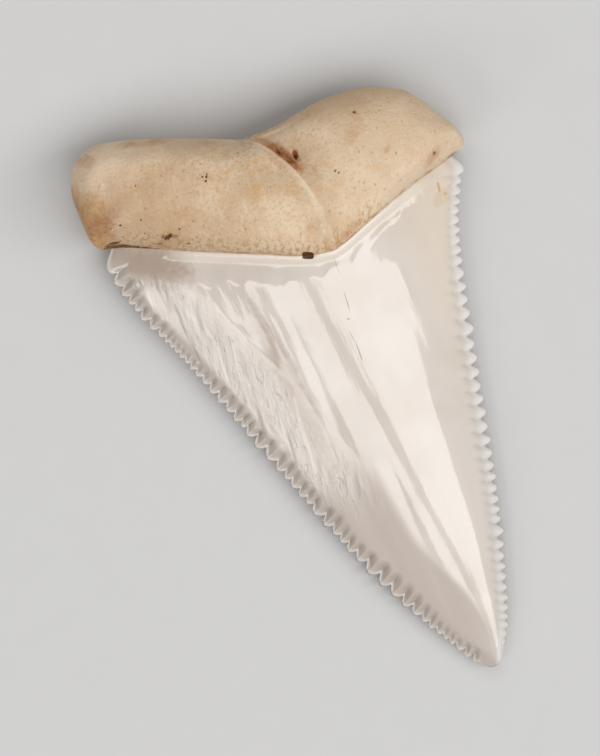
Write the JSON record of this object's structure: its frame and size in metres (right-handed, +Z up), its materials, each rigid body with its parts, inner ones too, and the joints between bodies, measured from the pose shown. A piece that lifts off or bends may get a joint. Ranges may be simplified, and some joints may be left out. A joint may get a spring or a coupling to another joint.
{
  "type": "fossil great white shark tooth",
  "caption": "Triangular shark tooth with serrated cutting edges and a thick two-lobed root, lying on its flat outer face.",
  "frame": {"origin": "on the surface that the tooth lies on, under the middle of its box", "axes": "+X across the tooth, towards the smaller root lobe; +Y from the tip to the root; +Z up, out of the swollen inner (lingual) face"},
  "size_m": [0.0293, 0.0492, 0.0095],
  "materials": {
    "enamel_and_root": "glossy white enamel on the crown, dull mottled tan bone on the root"
  },
  "bodies": {
    "root": {"tooth": "enamel_and_root"}
  },
  "joints": []
}
